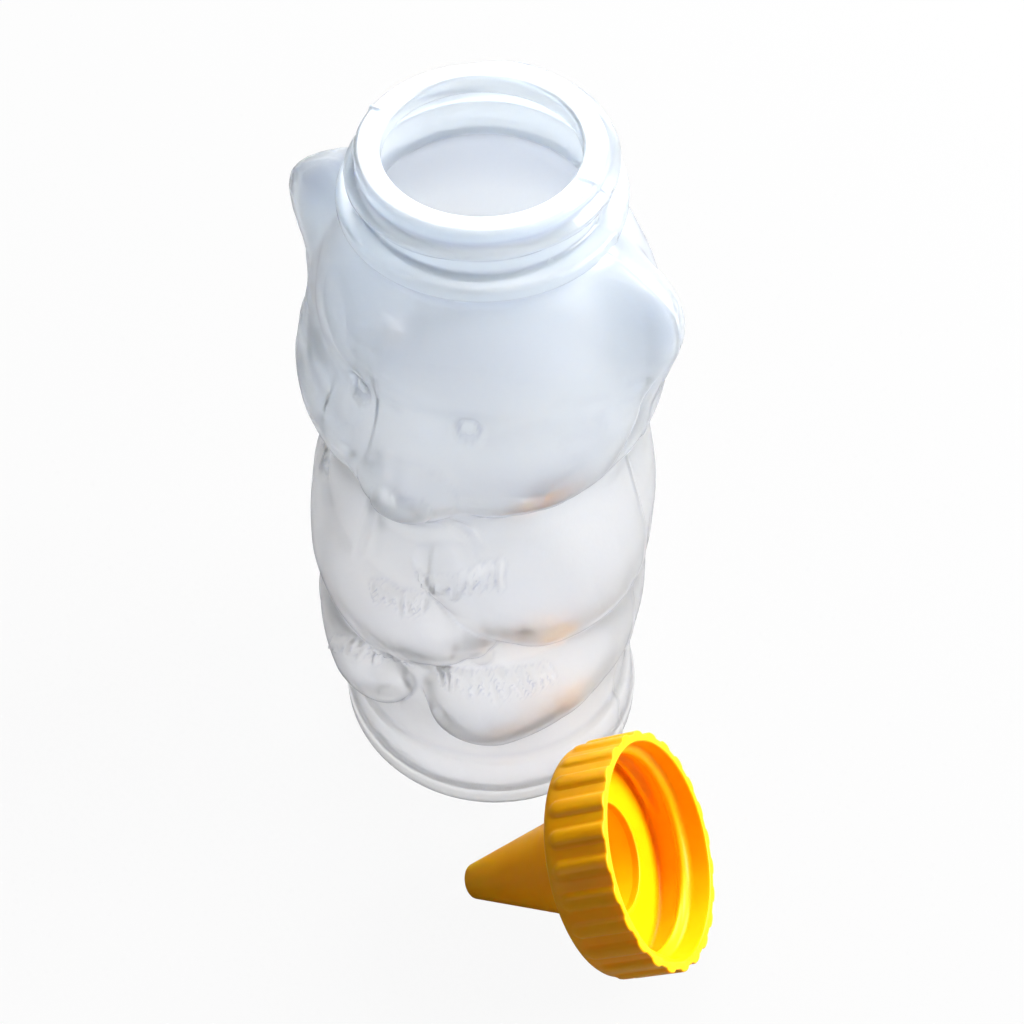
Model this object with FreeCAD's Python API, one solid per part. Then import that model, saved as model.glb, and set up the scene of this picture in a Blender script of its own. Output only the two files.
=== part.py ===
"""Squeeze bottle in the form of a sitting bear, open, with its cone-tipped screw cap lying beside it.

Frame: Z is up and the origin is the centre of the bottle's foot, on the surface it stands on. The bear
looks along -Y, so its left side is +X. The whole bottle is one hollow solid and the cap is another.
Lengths are millimetres and angles are degrees.
"""
import FreeCAD, Part
import math
import os

V = FreeCAD.Vector

# ---- driving sizes: bottle ----
figure_height = 130.5        # foot to the root of the neck
foot_width = 59.2            # across the foot, side to side
wall = 1.0                   # wall of the blown figure
foot_rounding = 1.5          # rounded edge around the foot
push_up_radius = 21.0        # hollow under the foot, which leaves a standing ring
push_up_depth = 2.0
inner_rounding = 2.0         # rounded edge around the floor of the cavity

neck_height = 12.0           # root of the neck to the lip
neck_radius = 17.45          # outside of the neck, under the thread
neck_wall = 1.55
neck_root_radius = 18.4      # groove between the bead and the head
bore_radius = 13.8           # through the lip
lip_thickness = 2.8          # the lip is a thick inward flange
lip_rounding = 0.5
bead_radius = 20.5           # transfer bead under the thread
bead_height = 2.4
bead_drop = 7.6              # lip down to the top of the bead
bead_edge = 0.5              # sloping edges above and below the bead
neck_overlap = 3.0           # how far the neck's solid reaches down into the figure
thread_pitch = 4.23
thread_depth = 1.6
thread_turns = 1.05
thread_drop = 5.5            # lip down to the lower end of the thread
thread_start = 111.0         # direction of the thread's lower end
thread_half_crest = 0.45
thread_half_root = 1.15

# ---- driving sizes: cap ----
cap_clearance = 0.25         # between the cap's skirt and the bottle's thread
skirt_wall = 1.35            # skirt, under the ribs
rib_count = 24
rib_height = 0.6
rib_share = 0.52             # share of the pitch that a rib's crest takes up
rib_flank = 0.10             # share of the pitch that each flank takes up
skirt_length = 12.4
back_bevel = 1.8
plate_thickness = 1.8
cone_length = 27.8
cone_base_radius = 11.0
cone_wall = 1.2
tip_radius = 3.1
tip_rounding = 0.9
orifice_radius = 1.5
seal_ring_height = 0.8
seal_ring_width = 1.2
rim_chamfer = 0.5            # inner edge of the open end
cap_thread_turns = 1.75
cap_thread_drop = 1.8        # rim down to the upper end of the cap's thread
cap_thread_gap = 0.1         # between the cap's thread and the neck
cap_thread_start = 40.0      # direction of the cap thread's lower end

# ---- where the cap lies ----
cap_offset = 10.1            # side of the foot to the centre of the plate's outer face
cap_back_x = foot_width / 2 + cap_offset
cap_back_y = -33.2
cap_heading = 21.6           # direction that the open end faces, seen from above

# ---- outline of the figure ----
# Height, then radius in front, at the sides and at the back. The first row is the foot and the last
# the root of the neck. All are scaled to figure_height and foot_width.
OUTLINE = [
    (0.0, 28.2, 29.6, 28.4),        # foot
    (5.0, 28.2, 29.6, 28.4),
    (6.8, 27.6, 29.0, 27.8),        # lower step of the seat
    (14.6, 27.0, 27.9, 27.3),
    (16.6, 26.2, 26.9, 26.6),       # upper step of the seat
    (22.0, 26.2, 26.8, 27.0),
    (30.0, 26.6, 27.2, 28.0),
    (40.0, 27.2, 27.8, 28.4),
    (50.0, 27.6, 28.2, 28.8),       # belly
    (60.0, 27.8, 28.4, 29.0),
    (70.0, 27.2, 28.2, 28.6),
    (78.0, 26.4, 27.2, 27.8),       # shoulders
    (84.0, 25.4, 25.8, 26.4),
    (88.0, 24.6, 24.9, 25.2),       # crease between body and head
    (91.5, 24.8, 25.8, 25.9),
    (95.0, 25.6, 27.4, 27.6),       # jaw
    (100.0, 25.4, 28.0, 28.6),
    (105.0, 24.6, 27.6, 28.6),
    (110.0, 23.9, 26.7, 28.0),      # eyes
    (116.0, 24.4, 25.6, 26.2),
    (121.0, 23.8, 24.0, 24.0),      # crown
    (125.0, 22.3, 22.3, 22.1),
    (128.0, 20.4, 20.4, 20.3),
    (130.5, 18.4, 18.4, 18.4),      # root of the neck
]
crease_height = 89.0
crease_tilt = 1.5            # the head is cocked to its right by this much at the crease

# Limbs are padded bands on the figure: direction from the front, height, half width and thickness.
LEFT_ARM = [(100, 73, 14, 0.6), (74, 68.5, 13, 2.2), (52, 69, 12.5, 3.2), (34, 71.5, 10.5, 3.2),
            (17, 76, 6.5, 2.6)]
RIGHT_ARM = [(-100, 72, 13, 0.6), (-74, 66, 13, 2.4), (-48, 57, 13, 3.4), (-20, 56.5, 11.5, 3.2),
             (4, 59, 9, 3.0), (16, 62.5, 7.5, 2.4)]
LEFT_LEG = [(100, 41, 10, 1.0), (72, 42, 11, 2.4), (50, 40, 11.8, 4.2), (28, 37.5, 11.8, 6.2)]
LEFT_JAW = [(8, 96, 6, 0.6), (32, 98.5, 8, 2.3), (45, 100.8, 8.5, 2.8), (57, 103.2, 8.5, 2.7),
            (65, 107, 8, 2.2), (71, 112, 7, 1.3), (79, 117, 6, 0.2)]
# How far a limb's upper side reaches out, and the powers that shape its lower and its upper side.
LEFT_ARM_SIDES = (0.75, 0.55, 1.6)
RIGHT_ARM_SIDES = (0.8, 0.55, 1.5)
LEG_SIDES = (0.85, 0.5, 1.4)
JAW_SIDES = (0.8, 0.45, 1.5)

# Height and how far the ear stands out of the head there.
EAR = [(100, 0), (103, 0.5), (107, 1.9), (110, 3.4), (114, 5.2), (117, 6.5), (120, 7.4), (122.7, 7.6),
       (124.5, 7.0), (126.5, 5.7), (128.5, 3.8), (130, 1.8), (131.5, 0)]
ear_direction = 92.0         # from the front
ear_half_width = 12.0        # degrees, on the ear's front side
ear_rear_half_width = 13.0
left_ear_size = 0.92         # the left ear is a little smaller than the right one
right_ear_size = 1.32
right_ear_lift = 2.2

# Pads and swellings: direction, height, half width, half height and depth, and for a pad its power.
MUZZLE = (-1, 95.0, 17.0, 14.0, 3.7, 2.2)
SNOUT = (1, 96.5, 8.6, 6.6, 1.2, 0.75)
NOSE = (2, 95.7, 4.6, 3.0, 1.0, 0.25)
NAVEL = (25, 55.5, 2.0, 3.6, 0.7, 0.7)
BROW = (0, 118.5, 17.0, 3.2, 1.1)
eye_height, eye_direction = 110.0, 22.0
SOCKET = (3.6, 3.6, 0.5)
EYE_RECESS = (2.6, 2.6, 1.0, 0.5)
EYE_MIDDLE = (1.7, 1.7, 0.9, 0.6)

# ---- how finely the figure's surface is controlled ----
columns = 112
row_spacing = 1.35


def smooth_line(points):
    """Return a function through (x, y) points that never overshoots them, flat beyond both ends."""
    x = [p[0] for p in points]
    y = [p[1] for p in points]
    step = [b - a for a, b in zip(x, x[1:])]
    rise = [(b - a) / h for a, b, h in zip(y, y[1:], step)]
    slope = [rise[0]]
    for i in range(1, len(x) - 1):
        if rise[i - 1] * rise[i] <= 0:
            slope.append(0.0)
            continue
        before, after = 2 * step[i] + step[i - 1], step[i] + 2 * step[i - 1]
        slope.append((before + after) / (before / rise[i - 1] + after / rise[i]))
    slope.append(rise[-1])

    def value(at):
        at = min(max(at, x[0]), x[-1])
        i = max(k for k in range(len(step)) if x[k] <= at)
        t = (at - x[i]) / step[i]
        start = y[i] * (1 + 2 * t) * (1 - t) ** 2 + slope[i] * step[i] * t * (1 - t) ** 2
        return start + y[i + 1] * t * t * (3 - 2 * t) + slope[i + 1] * step[i] * t * t * (t - 1)

    return value


top_height, top_radius = OUTLINE[-1][0], OUTLINE[-1][2]
foot_radius = OUTLINE[0][2]
height_scale = figure_height / top_height
girth_scale = (foot_width / 2 - neck_root_radius) / (foot_radius - top_radius)
front_line, side_line, back_line = [smooth_line([(row[0], row[k]) for row in OUTLINE]) for k in (1, 2, 3)]
ear_line = smooth_line(EAR)
arc_radius = 28.0            # turns a direction into a distance around the figure


def turn(angle):
    """Return an angle in radians brought between -pi and pi."""
    return (angle + math.pi) % (2 * math.pi) - math.pi


def plain_radius(angle, height):
    """Return the outline's radius, mixed smoothly from its front, side and back values."""
    front, side, back = front_line(height), side_line(height), back_line(height)
    mean, sway, oval = (front + back) / 4 + side / 2, (front - back) / 2, (front + back) / 4 - side / 2
    return mean + sway * math.cos(angle) + oval * math.cos(2 * angle)


def limb(angle, height, nodes, sides, folded=False):
    """Return the thickness of a padded band: crisp below and soft above. A folded band has a sharp crest."""
    upper_reach, lower_power, upper_power = sides
    best = 0.0
    for a, b in zip(nodes, nodes[1:]):
        run, climb = math.radians(b[0] - a[0]) * arc_radius, b[1] - a[1]
        x, z = turn(angle - math.radians(a[0])) * arc_radius, height - a[1]
        t = min(max((x * run + z * climb) / (run * run + climb * climb), 0), 1)
        across, above = x - t * run, z - t * climb
        half_width, thick = a[2] + (b[2] - a[2]) * t, a[3] + (b[3] - a[3]) * t
        upper = min(max(0.5 + 1.2 * above / half_width, 0), 1)
        upper = upper * upper * (3 - 2 * upper)
        if folded:
            upper = 1.0 if above > 0 else 0.0
        reach = math.hypot(across, above) / half_width * (1 - (1 - upper_reach) * upper)
        power = lower_power + (upper_power - lower_power) * upper
        if reach < 1:
            bend = reach ** (2 - upper) if folded else reach * reach
            best = max(best, thick * (1 - bend) ** power)
    return best


def greater(a, b):
    """Return the greater of two thicknesses, with a soft join where they are alike."""
    return (max(a, 0) ** 4 + max(b, 0) ** 4) ** 0.25


def pad(angle, height, direction, level, half_width, half_height, depth, power):
    """Return the depth of an oval pad."""
    x = turn(angle - math.radians(direction)) * arc_radius / half_width
    z = (height - level) / half_height
    return depth * max(1 - x * x - z * z, 0) ** power


def swell(angle, height, direction, level, half_width, half_height, depth):
    """Return the depth of a bell-shaped swelling."""
    x = turn(angle - math.radians(direction)) * arc_radius / half_width
    z = (height - level) / half_height
    return depth * math.exp(-x * x - z * z)


def mirrored(nodes):
    """Return a limb's nodes on the other side of the figure."""
    return [(-direction, height, width, thick) for direction, height, width, thick in nodes]


def ear(angle, height, side):
    """Return how far the ear of one side stands out: side is 1 for the left ear and -1 for the right."""
    size, lift = (left_ear_size, 0.0) if side > 0 else (right_ear_size, right_ear_lift)
    x = turn(angle - math.radians(side * ear_direction))
    half_width = ear_rear_half_width if x * side > 0 else ear_half_width
    return size * ear_line(height - lift) * math.exp(-abs(x / math.radians(half_width)) ** 2.2)


def face(angle, height, level):
    """Return the relief of the face: brow, muzzle, jaw, nose, eyes and ears."""
    jaw = max(limb(angle, level, side, JAW_SIDES, folded=True) for side in (LEFT_JAW, mirrored(LEFT_JAW)))
    out = greater(pad(angle, height, *MUZZLE), jaw)
    out += swell(angle, height, *BROW)
    out += pad(angle, height, *SNOUT) + pad(angle, height, *NOSE)
    for side in (-1, 1):
        eye = (side * eye_direction, eye_height)
        out -= swell(angle, height, *eye, *SOCKET)
        out -= pad(angle, height, *eye, *EYE_RECESS)
        out += pad(angle, height, *eye, *EYE_MIDDLE)
        out += ear(angle, height, side)
    return out


def figure_radius(angle, height):
    """Return the outside radius of the figure at an angle from the front and a height in OUTLINE's units."""
    level = height - crease_tilt * math.sin(angle) * math.exp(-(((height - crease_height) / 8) ** 2))
    arms = max(limb(angle, height, LEFT_ARM, LEFT_ARM_SIDES), limb(angle, height, RIGHT_ARM, RIGHT_ARM_SIDES))
    legs = max(limb(angle, height, leg, LEG_SIDES) for leg in (LEFT_LEG, mirrored(LEFT_LEG)))
    units = plain_radius(angle, level) + max(arms, legs) + face(angle, height, level)
    units += pad(angle, height, *NAVEL)
    return neck_root_radius + girth_scale * (units - top_radius)


def closed_surface(rows):
    """Return the solid inside a smooth tube: rows are (height, radii), one radius for each column."""
    poles = []
    for i in range(columns):
        angle = 2 * math.pi * i / columns - math.pi / 2
        poles.append([V(radii[i] * math.cos(angle), radii[i] * math.sin(angle), z) for z, radii in rows])
    round_knots = list(range(columns + 1))
    rise_knots = list(range(len(rows) - 2))
    surface = Part.BSplineSurface()
    surface.buildFromPolesMultsKnots(
        poles, [1] * len(round_knots), [4] + [1] * (len(rise_knots) - 2) + [4],
        round_knots, rise_knots, True, False, 3, 3)
    side = surface.toShape()
    rings = [edge for edge in side.Edges if edge.BoundBox.ZLength < 0.01]
    lids = [Part.Face(Part.Wire([edge])) for edge in rings]
    shell = Part.makeShell([side] + lids)
    shell.sewShape()
    return Part.makeSolid(shell)


def figure_rows():
    """Return the rows of the figure's outside, from the foot to the root of the neck."""
    count = round(figure_height / row_spacing)
    heights = [figure_height * j / count for j in range(1, count + 1)]
    angles = [2 * math.pi * i / columns for i in range(columns)]
    return [(z, [figure_radius(angle, z / height_scale) for angle in angles]) for z in heights]


def inner_rows(rows):
    """Return the rows of the cavity: one wall inside the least radius of the outside around each point."""
    reach = max(1, round(wall / row_spacing))
    inside = []
    for j, (z, radii) in enumerate(rows):
        near = rows[max(0, j - reach):j + reach + 1]
        least = [min(row[1][(i + k) % columns] for row in near for k in (-1, 0, 1)) for i in range(columns)]
        inside.append((z, [radius - wall for radius in least]))
    return inside


def grown(radii, by):
    """Return radii moved outwards by a distance."""
    return [radius + by for radius in radii]


def turned(points):
    """Return the solid of revolution about Z of a closed outline of (radius, height) points."""
    corners = [V(radius, 0, z) for radius, z in points]
    wire = Part.makePolygon(corners + corners[:1])
    return Part.Face(wire).revolve(V(0, 0, 0), V(0, 0, 1), 360)


def thread(root_radius, depth, start, turns, bottom, outward):
    """Return a helical ridge that stands outward (1) or inward (-1), sunk a little into root_radius."""
    sink = 0.3
    inner, outer = root_radius - outward * sink, root_radius + outward * depth
    corners = [V(inner, 0, bottom - thread_half_root), V(outer, 0, bottom - thread_half_crest),
               V(outer, 0, bottom + thread_half_crest), V(inner, 0, bottom + thread_half_root)]
    profile = Part.makePolygon(corners + corners[:1])
    path = Part.makeHelix(thread_pitch, thread_pitch * turns, root_radius)
    path.translate(V(0, 0, bottom))
    ridge = Part.Wire(path.Edges).makePipeShell([profile], True, True)
    ridge.rotate(V(0, 0, 0), V(0, 0, 1), start)
    return ridge


def push_up(offset):
    """Return the shallow dome under the foot, or the boss that it makes inside when offset is the wall."""
    radius, depth = push_up_radius + offset, push_up_depth + offset
    sphere_radius = (radius ** 2 + depth ** 2) / (2 * depth)
    dome = Part.makeSphere(sphere_radius, V(0, 0, depth - sphere_radius))
    block = Part.makeBox(4 * radius, 4 * radius, 2 * depth, V(-2 * radius, -2 * radius, -0.5 * depth))
    return dome.common(block)


def bottle():
    """Return the bottle: blown figure, threaded neck with its bead and thick lip, and the whole inside."""
    rows = figure_rows()
    lip = figure_height + neck_height
    bead_top = lip - bead_drop
    bead_bottom = bead_top - bead_height

    foot = rows[0][1]
    edge = [(0.0, grown(foot, -foot_rounding)), (0.0, grown(foot, -foot_rounding / 2)),
            (foot_rounding / 2, foot)]
    inside_neck = [(figure_height + bead_edge, [neck_root_radius - 2 * bead_edge] * columns)]
    outside = closed_surface(edge + rows + inside_neck)
    neck_bottom = figure_height - neck_overlap
    neck = turned([
        (0, neck_bottom), (neck_root_radius, neck_bottom), (neck_root_radius, bead_bottom - bead_edge),
        (bead_radius - bead_edge, bead_bottom), (bead_radius, bead_bottom + bead_edge),
        (bead_radius, bead_top - bead_edge), (bead_radius - bead_edge, bead_top),
        (neck_radius, bead_top + bead_edge), (neck_radius, lip - lip_rounding),
        (neck_radius - lip_rounding, lip), (0, lip)])
    screw = thread(neck_radius, thread_depth, thread_start, thread_turns, lip - thread_drop, 1)

    floor = push_up_depth / 2 + wall
    kept = [row for row in inner_rows(rows) if floor + inner_rounding / 2 < row[0] < figure_height - wall]
    low = kept[0][1]
    bottom = [(wall, grown(low, -inner_rounding)), (wall, grown(low, -inner_rounding / 2)),
              (wall + inner_rounding / 2, low)]
    neck_inside = neck_radius - neck_wall
    shoulder = [(figure_height, [neck_inside + wall / 2] * columns),
                (figure_height + wall, [neck_inside - wall] * columns)]
    cavity = closed_surface(bottom + kept + shoulder).cut(push_up(wall))
    under_lip = lip - lip_thickness
    bore = turned([
        (0, neck_bottom), (neck_inside, neck_bottom), (neck_inside, under_lip - bead_edge),
        (bore_radius, under_lip), (bore_radius, lip - lip_rounding), (bore_radius + lip_rounding, lip), (0, lip)])

    solid = outside.fuse(neck).fuse(screw)
    return solid.cut(cavity.fuse(bore)).cut(push_up(0)).removeSplitter()


def ribbed_skirt(crest, root, low, high):
    """Return a prism whose outline has the cap's straight ribs, with flats between them."""
    outline = []
    pitch = 2 * math.pi / rib_count
    for k in range(rib_count):
        middle = -math.pi / 2 + k * pitch
        for offset, radius in ((-0.5 * rib_share - rib_flank, root), (-0.5 * rib_share, crest),
                               (0.5 * rib_share, crest), (0.5 * rib_share + rib_flank, root)):
            angle = middle + offset * pitch
            outline.append(V(radius * math.cos(angle), radius * math.sin(angle), low))
    return Part.Face(Part.makePolygon(outline + outline[:1])).extrude(V(0, 0, high - low))


def cap_upright():
    """Return the cap standing on its tip: tip at the origin, open end up."""
    rim = cone_length + skirt_length
    skirt_inside = neck_radius + thread_depth + cap_clearance
    root = skirt_inside + skirt_wall
    crest = root + rib_height
    plate_inside = cone_length + plate_thickness
    cone_inside = cone_base_radius - cone_wall

    skirt = ribbed_skirt(crest, root, cone_length, rim)
    envelope = turned([
        (0, cone_length), (crest - back_bevel / 1.5, cone_length), (crest, cone_length + back_bevel),
        (crest, rim - rim_chamfer / 2), (crest - rim_chamfer / 2, rim), (0, rim)])
    plate_core = cone_length + plate_thickness / 2
    cone = turned([
        (0, 0), (tip_radius - tip_rounding, 0), (tip_radius - 0.3 * tip_rounding, 0.3 * tip_rounding),
        (tip_radius, tip_rounding), (cone_base_radius, cone_length), (cone_base_radius, plate_core),
        (0, plate_core)])
    seal_root = plate_inside - plate_thickness / 3
    inside = turned([
        (0, -1), (orifice_radius, -1), (orifice_radius, tip_rounding + cone_wall), (cone_inside, seal_root),
        (cone_inside, plate_inside), (skirt_inside - rim_chamfer, plate_inside),
        (skirt_inside, plate_inside + rim_chamfer), (skirt_inside, rim - rim_chamfer),
        (skirt_inside + rim_chamfer, rim), (skirt_inside + rim_chamfer, rim + 1), (0, rim + 1)])
    seal = turned([
        (cone_inside, seal_root), (cone_inside + seal_ring_width, seal_root),
        (cone_inside + 0.8 * seal_ring_width, plate_inside + seal_ring_height),
        (cone_inside + 0.2 * seal_ring_width, plate_inside + seal_ring_height)])
    start = rim - cap_thread_drop - thread_pitch * cap_thread_turns
    ridge_depth = thread_depth + cap_clearance - cap_thread_gap
    ridge = thread(skirt_inside, ridge_depth, cap_thread_start, cap_thread_turns, start, -1)
    return skirt.common(envelope).fuse(cone).cut(inside).fuse(seal).fuse(ridge).removeSplitter()


def cap():
    """Return the cap lying on its tip and on the lower edge of its skirt."""
    crest = neck_radius + thread_depth + cap_clearance + skirt_wall + rib_height
    corner = (cone_length + back_bevel, crest)
    tip_points = [(0.3 * tip_rounding, tip_radius - 0.3 * tip_rounding), (tip_rounding, tip_radius)]
    tilt = min(math.degrees(math.atan2(corner[1] - r, corner[0] - t)) for t, r in tip_points)
    solid = cap_upright()
    solid.rotate(V(0, 0, 0), V(0, 1, 0), 90 - tilt)
    solid.rotate(V(0, 0, 0), V(0, 0, 1), cap_heading)
    reach = cone_length * math.cos(math.radians(tilt))
    heading = math.radians(cap_heading)
    solid.translate(V(cap_back_x - reach * math.cos(heading), cap_back_y - reach * math.sin(heading), 0))
    solid.translate(V(0, 0, -solid.optimalBoundingBox(False, False).ZMin))
    return solid


os.makedirs("parts", exist_ok=True)
for name, make in (("bottle", bottle), ("cap", cap)):
    shape = make()
    shape.exportStep(f"parts/{name}.step")
    box = shape.BoundBox
    print(f"{name}: valid {shape.isValid()}, solids {len(shape.Solids)}, faces {len(shape.Faces)}, "
          f"volume {shape.Volume / 1000:.2f} cm3, X {box.XMin:.1f}..{box.XMax:.1f}, "
          f"Y {box.YMin:.1f}..{box.YMax:.1f}, Z {box.ZMin:.2f}..{box.ZMax:.2f}")
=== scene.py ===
"""Looks of an empty, open squeeze bottle in the form of a sitting bear, with its screw cap lying beside it.

Sizes are millimetres and directions are degrees from the bear's front, growing towards its left side (+X).
Meshes are made in metres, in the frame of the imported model.
"""

import logging
import math
from dataclasses import dataclass, replace
from enum import Enum

import bpy
import numpy as np
from mathutils import Matrix, Vector


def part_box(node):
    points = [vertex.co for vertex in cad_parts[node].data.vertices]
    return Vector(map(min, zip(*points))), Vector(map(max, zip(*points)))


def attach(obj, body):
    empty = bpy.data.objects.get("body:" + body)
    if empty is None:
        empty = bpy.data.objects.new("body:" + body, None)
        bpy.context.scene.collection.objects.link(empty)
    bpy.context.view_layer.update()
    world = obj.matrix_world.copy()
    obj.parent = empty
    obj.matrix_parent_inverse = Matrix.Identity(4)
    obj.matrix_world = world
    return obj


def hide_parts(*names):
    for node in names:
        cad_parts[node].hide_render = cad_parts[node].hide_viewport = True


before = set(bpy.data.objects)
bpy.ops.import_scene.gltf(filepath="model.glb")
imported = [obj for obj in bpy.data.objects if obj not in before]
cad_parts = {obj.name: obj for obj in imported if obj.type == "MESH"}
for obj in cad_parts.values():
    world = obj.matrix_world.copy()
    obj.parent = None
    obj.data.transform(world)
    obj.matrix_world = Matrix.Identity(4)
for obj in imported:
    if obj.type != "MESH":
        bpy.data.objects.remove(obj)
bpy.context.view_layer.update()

log = logging.getLogger("bear_bottle")
MM = 0.001
Table = tuple[tuple[float, ...], ...]
Array = np.ndarray
Socket = bpy.types.NodeSocket
Tree = bpy.types.NodeTree


# ---- small helpers ----

def linear(code: str) -> tuple[float, float, float, float]:
    """Turn an sRGB hex colour into the linear values that a shader takes.

    Args:
        code: The colour as "#rrggbb".

    Returns:
        Red, green, blue and an opacity of 1.
    """
    channels = [int(code[i:i + 2], 16) / 255 for i in (1, 3, 5)]
    red, green, blue = [c / 12.92 if c <= 0.04045 else ((c + 0.055) / 1.055) ** 2.4 for c in channels]
    return red, green, blue, 1.0


def add_node(tree: Tree, kind: str, settings: dict | None = None,
             inputs: dict | None = None) -> bpy.types.Node:
    """Add a node to a tree with its settings and its inputs.

    Args:
        tree: The tree that the node goes into.
        kind: The node's type name.
        settings: Properties of the node by name.
        inputs: For each input's name or number, an output socket to link or a value to set.

    Returns:
        The new node.
    """
    node = tree.nodes.new(kind)
    for name, value in (settings or {}).items():
        setattr(node, name, value)
    for name, value in (inputs or {}).items():
        if isinstance(value, Socket):
            tree.links.new(value, node.inputs[name])
        else:
            node.inputs[name].default_value = value
    return node


def empty_tree(owner: bpy.types.Material | bpy.types.World) -> Tree:
    """Switch on the nodes of a material or world.

    Args:
        owner: The material or world.

    Returns:
        Its tree, with nothing in it.
    """
    owner.use_nodes = True
    owner.node_tree.nodes.clear()
    return owner.node_tree


def add_object(name: str, data: bpy.types.ID) -> bpy.types.Object:
    """Add an object to the scene.

    Args:
        name: The object's name.
        data: Its mesh, lamp or camera.

    Returns:
        The object.
    """
    made = bpy.data.objects.new(name, data)
    bpy.context.collection.objects.link(made)
    return made


def smooth_step(x: Array) -> Array:
    """Rise smoothly from 0 to 1 as x goes from 0 to 1."""
    x = np.clip(x, 0.0, 1.0)
    return x * x * (3 - 2 * x)


def greater(a: Array, b: Array) -> Array:
    """Return the greater of two thicknesses, with a soft join where they are alike."""
    return (np.maximum(a, 0) ** 4 + np.maximum(b, 0) ** 4) ** 0.25


def spread(line: Array, density: Array, shares: Array) -> Array:
    """Choose places along a line, closer together where it is denser.

    Args:
        line: Even places along the line.
        density: How dense the line is at each of them.
        shares: The chosen places, each as a share of the whole.

    Returns:
        Where the chosen places lie on the line.
    """
    total = np.concatenate([[0], np.cumsum((density[1:] + density[:-1]) / 2)])
    return np.interp(shares * total[-1], total, line)


def turn(direction: Array, centre: float) -> Array:
    """Return directions counted from a centre, in degrees between -180 and 180."""
    return (direction - centre + 180.0) % 360.0 - 180.0


@dataclass(frozen=True)
class SmoothLine:
    """A smooth line through points that never overshoots them and is flat beyond both ends."""

    points: Table
    column: int = 1

    def __call__(self, at: Array) -> Array:
        """Return the line's value.

        Args:
            at: Where along the first column of the points.

        Returns:
            The chosen column's value there.
        """
        x = np.array([p[0] for p in self.points], float)
        y = np.array([p[self.column] for p in self.points], float)
        step, rise = np.diff(x), np.diff(y) / np.diff(x)
        slope = np.zeros_like(y)
        slope[0], slope[-1] = rise[0], rise[-1]
        for i in range(1, len(x) - 1):
            if rise[i - 1] * rise[i] > 0:
                before, after = 2 * step[i] + step[i - 1], step[i] + 2 * step[i - 1]
                slope[i] = (before + after) / (before / rise[i - 1] + after / rise[i])
        at = np.clip(at, x[0], x[-1])
        i = np.clip(np.searchsorted(x, at, side="right") - 1, 0, len(x) - 2)
        t = (at - x[i]) / step[i]
        value = y[i] * (1 + 2 * t) * (1 - t) ** 2 + slope[i] * step[i] * t * (1 - t) ** 2
        return value + y[i + 1] * t * t * (3 - 2 * t) + slope[i + 1] * step[i] * t * t * (t - 1)


# ---- relief of the bear ----

ARC = math.radians(28.0)     # millimetres around the figure for each degree


class Side(Enum):
    """A side of the bear, by the sign of its directions."""

    RIGHT = -1
    LEFT = 1


@dataclass(frozen=True)
class Limb:
    """A padded band on the figure, crisp along its lower side and soft along its upper side.

    Each node is a direction, a height, a half width and a thickness. A folded band has a sharp crest.
    """

    nodes: Table
    upper_reach: float = 0.8
    lower_power: float = 0.8
    upper_power: float = 1.4
    folded: bool = False

    def mirrored(self) -> "Limb":
        """Return the same limb on the other side of the figure."""
        nodes = tuple((-node[0],) + node[1:] for node in self.nodes)
        return replace(self, nodes=nodes)

    def thickness(self, direction: Array, height: Array) -> Array:
        """Return how far the limb stands out.

        Args:
            direction: Directions around the figure.
            height: Heights above the foot.

        Returns:
            The thickness at each place, zero away from the limb.
        """
        best = np.zeros(np.broadcast(direction, height).shape)
        for a, b in zip(self.nodes, self.nodes[1:]):
            run, climb = (b[0] - a[0]) * ARC, b[1] - a[1]
            x, z = turn(direction, a[0]) * ARC, height - a[1]
            t = np.clip((x * run + z * climb) / (run * run + climb * climb), 0, 1)
            across, above = x - t * run, z - t * climb
            half_width, thick = a[2] + (b[2] - a[2]) * t, a[3] + (b[3] - a[3]) * t
            upper = (above > 0) * 1.0 if self.folded else smooth_step(0.5 + 1.2 * above / half_width)
            reach = np.hypot(across, above) / half_width * (1 - (1 - self.upper_reach) * upper)
            power = self.lower_power + (self.upper_power - self.lower_power) * upper
            bend = reach ** (2 - upper) if self.folded else reach * reach
            best = np.maximum(best, thick * np.clip(1 - bend, 0, 1) ** power)
        return best


@dataclass(frozen=True)
class Pad:
    """An oval pad (power under about 1.6) or, with power None, a bell-shaped swelling."""

    direction: float
    height: float
    half_width: float
    half_height: float
    depth: float
    power: float | None = None

    def thickness(self, direction: Array, height: Array) -> Array:
        """Return how far the pad stands out.

        Args:
            direction: Directions around the figure.
            height: Heights above the foot.

        Returns:
            The thickness at each place.
        """
        x = turn(direction, self.direction) * ARC / self.half_width
        z = (height - self.height) / self.half_height
        if self.power is None:
            return self.depth * np.exp(-x * x - z * z)
        return self.depth * np.clip(1 - x * x - z * z, 0, 1) ** self.power


@dataclass(frozen=True)
class Ear:
    """A rounded ear that stands out of the side of the head."""

    side: Side
    size: float
    lift: float = 0.0
    direction: float = 92.0
    half_width: float = 12.0
    rear_half_width: float = 13.0
    outline: SmoothLine = SmoothLine((
        (100, 0), (103, 0.5), (107, 1.9), (110, 3.4), (114, 5.2), (117, 6.5), (120, 7.4), (122.7, 7.6),
        (124.5, 7.0), (126.5, 5.7), (128.5, 3.8), (130, 1.8), (131.5, 0)))

    def thickness(self, direction: Array, height: Array) -> Array:
        """Return how far the ear stands out.

        Args:
            direction: Directions around the figure.
            height: Heights above the foot.

        Returns:
            The thickness at each place.
        """
        x = turn(direction, self.side.value * self.direction) / self.half_width
        x = np.where(x * self.side.value > 0, x * self.half_width / self.rear_half_width, x)
        return self.size * self.outline(height - self.lift) * np.exp(-np.abs(x) ** 2.2)


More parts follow.
